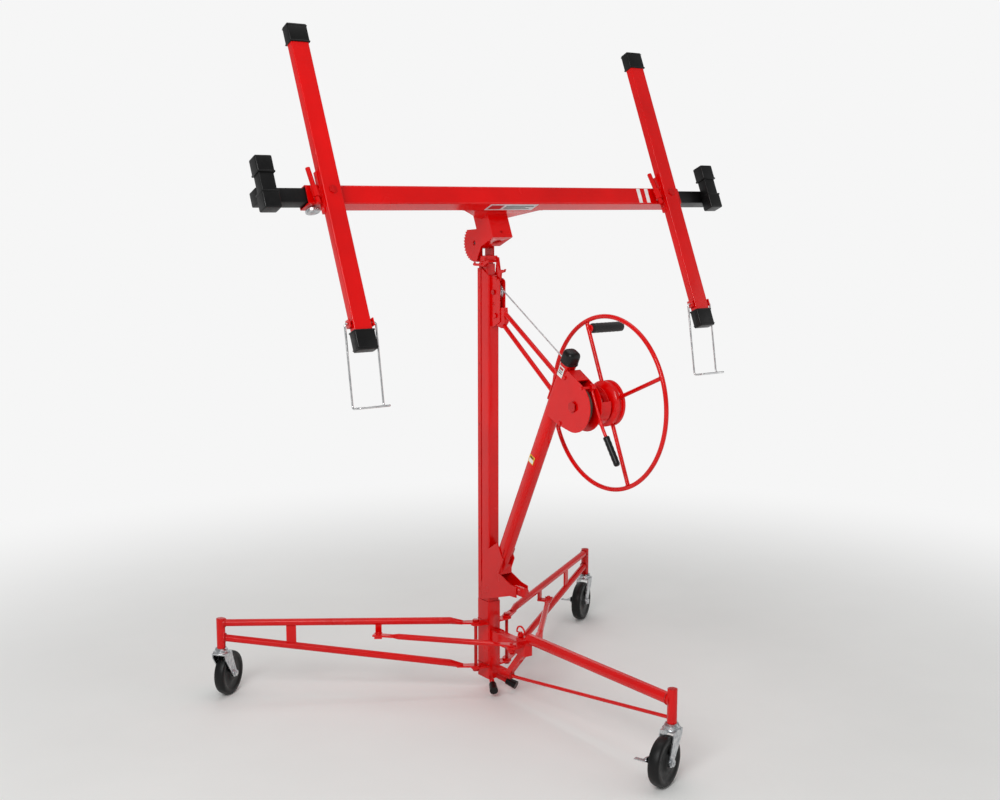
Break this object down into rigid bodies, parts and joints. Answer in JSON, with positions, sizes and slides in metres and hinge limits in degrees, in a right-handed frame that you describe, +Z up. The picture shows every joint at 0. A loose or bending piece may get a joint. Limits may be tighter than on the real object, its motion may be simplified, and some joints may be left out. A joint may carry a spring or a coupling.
{
  "type": "drywall lift",
  "caption": "Wheeled panel hoist: folding tripod base, telescoping mast raised by a hand-wheel winch, and a tilting cradle with arms, hooks and sliding outriggers.",
  "frame": {"origin": "centre of the footprint of the whole lift, on the floor", "axes": "+Z up along the mast, +X along the crossbar to the side that the winch wheel is on, -Y towards the operator and the single front leg"},
  "size_m": [1.51, 1.2809, 1.86],
  "materials": {
    "red_paint": "gloss red enamel over welded steel",
    "black_rubber": "moulded, semi-matt",
    "black_paint": "black satin coat",
    "black_foam": "closed-cell foam sleeve, matt",
    "zinc_plate": "bright zinc plate",
    "cable_steel": "galvanised wire rope"
  },
  "bodies": {
    "base": {"base_hub": "red_paint", "left_hinge_bolt": "zinc_plate", "right_hinge_bolt": "zinc_plate", "left_foot_tip": "black_rubber", "right_foot_tip": "black_rubber", "centre_leg": "red_paint", "outer_mast": "red_paint", "mast_spine": "red_paint", "pulley_bolt": "zinc_plate", "winch_post": "red_paint", "post_cap": "black_rubber", "post_brace": "red_paint", "winch_housing": "red_paint", "drum_guard": "red_paint", "lift_cable": "cable_steel"},
    "left_leg": {"left_leg": "red_paint"},
    "right_leg": {"right_leg": "red_paint"},
    "left_link": {"left_link": "red_paint"},
    "right_link": {"right_link": "red_paint"},
    "ring_pin": {"ring_pin": "red_paint"},
    "left_caster": {"left_caster_fork": "zinc_plate"},
    "right_caster": {"right_caster_fork": "zinc_plate"},
    "front_caster": {"front_caster_fork": "zinc_plate"},
    "left_wheel": {"left_caster_wheel": "black_rubber"},
    "right_wheel": {"right_caster_wheel": "black_rubber"},
    "front_wheel": {"front_caster_wheel": "black_rubber"},
    "right_wheel_brake": {"right_brake": "zinc_plate"},
    "front_wheel_brake": {"front_brake": "zinc_plate"},
    "lift_pulley": {"lift_pulley": "zinc_plate"},
    "middle_mast": {"middle_mast": "red_paint"},
    "inner_mast": {"inner_mast": "red_paint", "tilt_bolt": "zinc_plate"},
    "winch_wheel": {"winch_shaft": "zinc_plate", "brake_drum": "black_paint", "cable_drum": "red_paint", "hand_wheel": "red_paint"},
    "wheel_handle": {"handle_grip": "black_foam"},
    "winch_brake": {"brake_lever": "red_paint", "lever_grip": "black_rubber"},
    "mast_latch": {"mast_latch": "red_paint"},
    "cradle": {"crossbar": "red_paint"},
    "tilt_latch": {"tilt_latch": "red_paint"},
    "left_arm": {"left_arm": "red_paint", "left_arm_pin": "zinc_plate", "left_arm_lower_cap": "black_rubber", "left_arm_upper_cap": "black_rubber"},
    "left_arm_lock": {"left_arm_lock": "red_paint"},
    "left_hook": {"left_hook": "zinc_plate"},
    "left_outrigger": {"left_outrigger": "black_paint"},
    "left_knob": {"left_knob": "zinc_plate"},
    "right_arm": {"right_arm": "red_paint", "right_arm_pin": "zinc_plate", "right_arm_lower_cap": "black_rubber", "right_arm_upper_cap": "black_rubber"},
    "right_arm_lock": {"right_arm_lock": "red_paint"},
    "right_hook": {"right_hook": "zinc_plate"},
    "right_outrigger": {"right_outrigger": "black_paint"},
    "right_knob": {"right_knob": "zinc_plate"}
  },
  "joints": [
    {"name": "left_leg_fold", "type": "hinge", "parent": "base", "child": "left_leg", "pos_m": [-0.055, 0.1768, 0], "axis": [0, 0, 1], "range_deg": [-52, 0]},
    {"name": "right_leg_fold", "type": "hinge", "parent": "base", "child": "right_leg", "pos_m": [0.055, 0.1768, 0], "axis": [0, 0, 1], "range_deg": [0, 52]},
    {"name": "left_link_swing", "type": "hinge", "parent": "base", "child": "left_link", "pos_m": [-0.047, 0.0118, 0], "axis": [0, 0, 1], "range_deg": [0, 120]},
    {"name": "right_link_swing", "type": "hinge", "parent": "base", "child": "right_link", "pos_m": [0.047, 0.0118, 0], "axis": [0, 0, 1], "range_deg": [-120, 0]},
    {"name": "ring_pin_pull", "type": "slide", "parent": "base", "child": "ring_pin", "axis": [0, 0, 1], "range_m": [0, 0.075]},
    {"name": "left_caster_swivel", "type": "hinge", "parent": "left_leg", "child": "left_caster", "pos_m": [-0.66999, 0.5701, 0], "axis": [0, 0, 1], "continuous": true},
    {"name": "left_wheel_roll", "type": "hinge", "parent": "left_caster", "child": "left_wheel", "pos_m": [-0.63996, 0.59339, 0.0635], "axis": [-0.6129, 0.7902, 0], "continuous": true},
    {"name": "right_caster_swivel", "type": "hinge", "parent": "right_leg", "child": "right_caster", "pos_m": [0.66999, 0.5701, 0], "axis": [0, 0, 1], "continuous": true},
    {"name": "right_wheel_roll", "type": "hinge", "parent": "right_caster", "child": "right_wheel", "pos_m": [0.63798, 0.54963, 0.0635], "axis": [0.5388, -0.8425, 0], "continuous": true},
    {"name": "front_caster_swivel", "type": "hinge", "parent": "base", "child": "front_caster", "pos_m": [0, -0.5932, 0], "axis": [0, 0, 1], "continuous": true},
    {"name": "front_wheel_roll", "type": "hinge", "parent": "front_caster", "child": "front_wheel", "pos_m": [-0.03564, -0.60638, 0.0635], "axis": [0.3469, -0.9379, 0], "continuous": true},
    {"name": "right_wheel_brake_press", "type": "hinge", "parent": "right_caster", "child": "right_wheel_brake", "pos_m": [0.63798, 0.54963, 0.0635], "axis": [0.5388, -0.8425, 0], "range_deg": [0, 14]},
    {"name": "front_wheel_brake_press", "type": "hinge", "parent": "front_caster", "child": "front_wheel_brake", "pos_m": [-0.03564, -0.60638, 0.0635], "axis": [0.3469, -0.9379, 0], "range_deg": [0, 14]},
    {"name": "mast_lift", "type": "slide", "parent": "base", "child": "middle_mast", "axis": [0, 0, 1], "range_m": [0, 0.95], "deforming": ["lift_cable"]},
    {"name": "inner_mast_lift", "type": "slide", "parent": "middle_mast", "child": "inner_mast", "axis": [0, 0, 1], "range_m": [0, 0.95]},
    {"name": "winch_turn", "type": "hinge", "parent": "base", "child": "winch_wheel", "pos_m": [0, -0.2222, 0.888], "axis": [1, 0, 0], "range_deg": [0, 1944]},
    {"name": "lift_pulley_turn", "type": "hinge", "parent": "base", "child": "lift_pulley", "pos_m": [0, 0.14905, 1.165], "axis": [1, 0, 0], "range_deg": [0, 2592]},
    {"name": "wheel_handle_spin", "type": "hinge", "parent": "winch_wheel", "child": "wheel_handle", "pos_m": [0, -0.14093, 1.07946], "axis": [1, 0, 0], "continuous": true},
    {"name": "winch_brake_swing", "type": "hinge", "parent": "base", "child": "winch_brake", "pos_m": [0, -0.2572, 0.94], "axis": [1, 0, 0], "range_deg": [-20, 15]},
    {"name": "mast_latch_swing", "type": "hinge", "parent": "base", "child": "mast_latch", "pos_m": [0, 0.1348, 1.2015], "axis": [1, 0, 0], "range_deg": [-12, 15]},
    {"name": "cradle_tilt", "type": "hinge", "parent": "inner_mast", "child": "cradle", "pos_m": [0, 0.2118, 1.3], "axis": [1, 0, 0], "range_deg": [-133, 0]},
    {"name": "tilt_latch_lift", "type": "hinge", "parent": "inner_mast", "child": "tilt_latch", "pos_m": [0, 0.1778, 1.2425], "axis": [1, 0, 0], "range_deg": [-12, 0], "stiffness_Nm_per_rad": 0.3},
    {"name": "left_arm_fold", "type": "hinge", "parent": "cradle", "child": "left_arm", "pos_m": [-0.562, 0.23909, 1.36337], "axis": [0, -0.9184, 0.3955], "range_deg": [-45, 0]},
    {"name": "left_arm_lock_pull", "type": "slide", "parent": "left_arm", "child": "left_arm_lock", "axis": [0, -0.549, -0.8358], "range_m": [0, 0.02], "stiffness_N_per_m": 150},
    {"name": "left_hook_swing", "type": "hinge", "parent": "left_arm", "child": "left_hook", "pos_m": [-0.562, -0.07334, 1.1223], "axis": [1, 0, 0], "range_deg": [-60, 50]},
    {"name": "left_outrigger_slide", "type": "slide", "parent": "cradle", "child": "left_outrigger", "axis": [-1, 0, 0], "range_m": [0, 0.2]},
    {"name": "left_knob_turn", "type": "hinge", "parent": "cradle", "child": "left_knob", "pos_m": [-0.6, 0.09077, 1.39567], "axis": [0, 0.3955, 0.9184], "range_deg": [0, 270]},
    {"name": "right_arm_fold", "type": "hinge", "parent": "cradle", "child": "right_arm", "pos_m": [0.562, 0.23909, 1.36337], "axis": [0, -0.9184, 0.3955], "range_deg": [-45, 0]},
    {"name": "right_arm_lock_pull", "type": "slide", "parent": "right_arm", "child": "right_arm_lock", "axis": [0, -0.549, -0.8358], "range_m": [0, 0.02], "stiffness_N_per_m": 150},
    {"name": "right_hook_swing", "type": "hinge", "parent": "right_arm", "child": "right_hook", "pos_m": [0.562, -0.07334, 1.1223], "axis": [1, 0, 0], "range_deg": [-60, 50]},
    {"name": "right_outrigger_slide", "type": "slide", "parent": "cradle", "child": "right_outrigger", "axis": [1, 0, 0], "range_m": [0, 0.2]},
    {"name": "right_knob_turn", "type": "hinge", "parent": "cradle", "child": "right_knob", "pos_m": [0.6, 0.09077, 1.39567], "axis": [0, 0.3955, 0.9184], "range_deg": [0, 270]}
  ],
  "couplings": [
    {"joint": "inner_mast_lift", "follows": "mast_lift", "ratio": 1},
    {"joint": "winch_turn", "follows": "mast_lift", "rad_per_m": 35.7},
    {"joint": "lift_pulley_turn", "follows": "mast_lift", "rad_per_m": 47.6}
  ]
}
